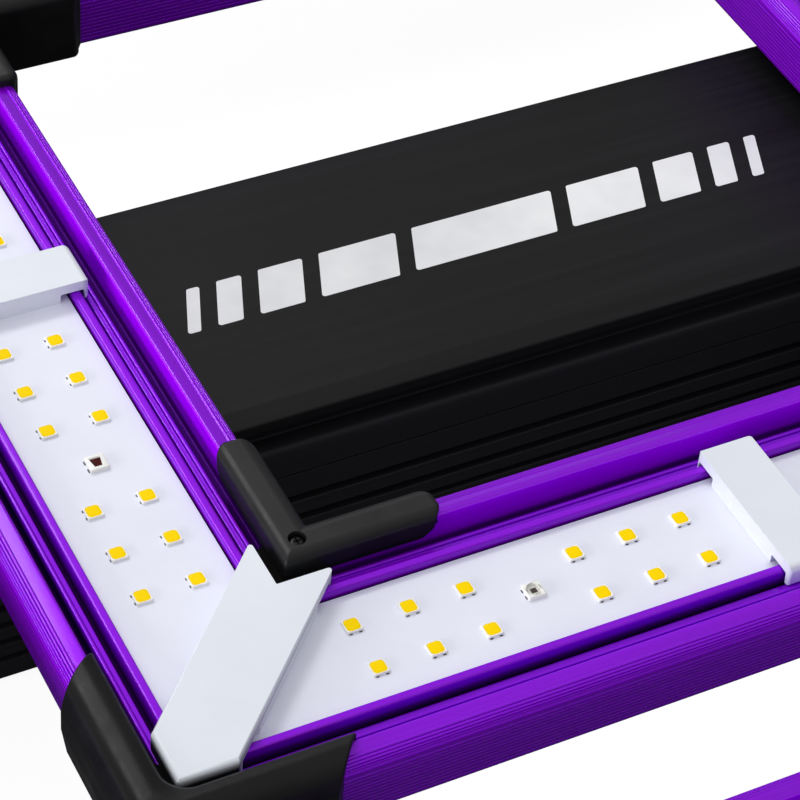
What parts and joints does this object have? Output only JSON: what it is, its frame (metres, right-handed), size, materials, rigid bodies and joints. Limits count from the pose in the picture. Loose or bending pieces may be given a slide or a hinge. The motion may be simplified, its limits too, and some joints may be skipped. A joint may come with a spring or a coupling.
{
  "type": "led grow light",
  "caption": "Nested square LED grow light with aluminium light bars, white board clips, corner caps, a slim driver box, dimmer knob and hanging brackets.",
  "frame": {"origin": "centre of the driver's back face, which is also the centre of the bounding box's underside", "axes": "+Z is the way the lamps face and +X runs along the driver box towards the dimmer knob; the light hangs with +Z down"},
  "size_m": [0.3884, 0.3884, 0.0674],
  "materials": {
    "purple_anodised": "satin purple anodised extrusion",
    "white_board": "satin white solder mask on a metal-core board",
    "led_body": "moulded lamp package",
    "phosphor": "smooth silicone with yellow phosphor",
    "white_clip": "satin white moulding",
    "black_cap": "fine moulded texture",
    "black_screw": "black oxide",
    "cast_key": "as cast",
    "steel_fastener": "zinc plated",
    "steel_bracket": "satin zinc plate",
    "rubber_part": "matt",
    "black_anodised": "satin black anodised extrusion",
    "black_end_cap": "satin powder coat",
    "green_board": "green solder mask",
    "transformer_wrap": "yellow insulating tape over a ferrite core",
    "capacitor_sleeve": "shrink sleeve",
    "black_moulding": "satin moulding",
    "pot_case": "pressed can"
  },
  "bodies": {
    "fixture": {"inner_rail_front": "purple_anodised", "inner_rail_right": "purple_anodised", "inner_rail_back": "purple_anodised", "inner_rail_left": "purple_anodised", "outer_rail_front": "purple_anodised", "outer_rail_right": "purple_anodised", "outer_rail_back": "purple_anodised", "outer_rail_left": "purple_anodised", "inner_board_front": "white_board", "inner_board_right": "white_board", "inner_board_back": "white_board", "inner_board_left": "white_board", "outer_board_front": "white_board", "outer_board_right": "white_board", "outer_board_back": "white_board", "outer_board_left": "white_board", "inner_white_leds": "led_body", "outer_white_leds": "led_body", "inner_phosphors": "phosphor", "outer_phosphors": "phosphor", "inner_red_leds": "led_body", "outer_red_leds": "led_body", "inner_far_red_leds": "led_body", "outer_far_red_leds": "led_body", "inner_mid_clips": "white_clip", "outer_mid_clips": "white_clip", "inner_corner_clips": "white_clip", "outer_corner_clips": "white_clip", "inner_frame_in_caps": "black_cap", "inner_frame_out_caps": "black_cap", "outer_frame_in_caps": "black_cap", "outer_frame_out_caps": "black_cap", "cap_screws": "black_screw", "corner_keys": "cast_key", "key_screws": "black_screw", "rail_spacers": "rubber_part", "spacer_screws": "steel_fastener", "frame_nuts": "steel_fastener", "hanger_brackets": "steel_bracket", "hanger_screws": "steel_fastener", "driver_housing": "black_anodised", "driver_lid": "black_anodised", "inlet_end_cap": "black_end_cap", "control_end_cap": "black_end_cap", "end_gaskets": "rubber_part", "end_cap_screws": "steel_fastener", "driver_board": "green_board", "transformer": "transformer_wrap", "capacitors": "capacitor_sleeve", "supply_wires": "rubber_part", "mains_inlet": "black_moulding", "inlet_pins": "steel_fastener", "control_ports": "black_moulding", "dimmer_pot": "pot_case"},
    "cover_a": {"port_cover_a": "rubber_part"},
    "cover_b": {"port_cover_b": "rubber_part"},
    "dimmer": {"dimmer_shaft": "steel_fastener", "dimmer_knob": "black_moulding"}
  },
  "joints": [
    {"name": "dimmer_turn", "type": "hinge", "parent": "fixture", "child": "dimmer", "pos_m": [0.183, 0.015, 0.024], "axis": [1, 0, 0], "range_deg": [0, 270]},
    {"name": "cover_a_hinge", "type": "hinge", "parent": "fixture", "child": "cover_a", "pos_m": [0.1852, -0.0015, 0.034], "axis": [0, -1, 0], "range_deg": [0, 110]},
    {"name": "cover_b_hinge", "type": "hinge", "parent": "fixture", "child": "cover_b", "pos_m": [0.1852, -0.017, 0.034], "axis": [0, -1, 0], "range_deg": [0, 110]}
  ]
}
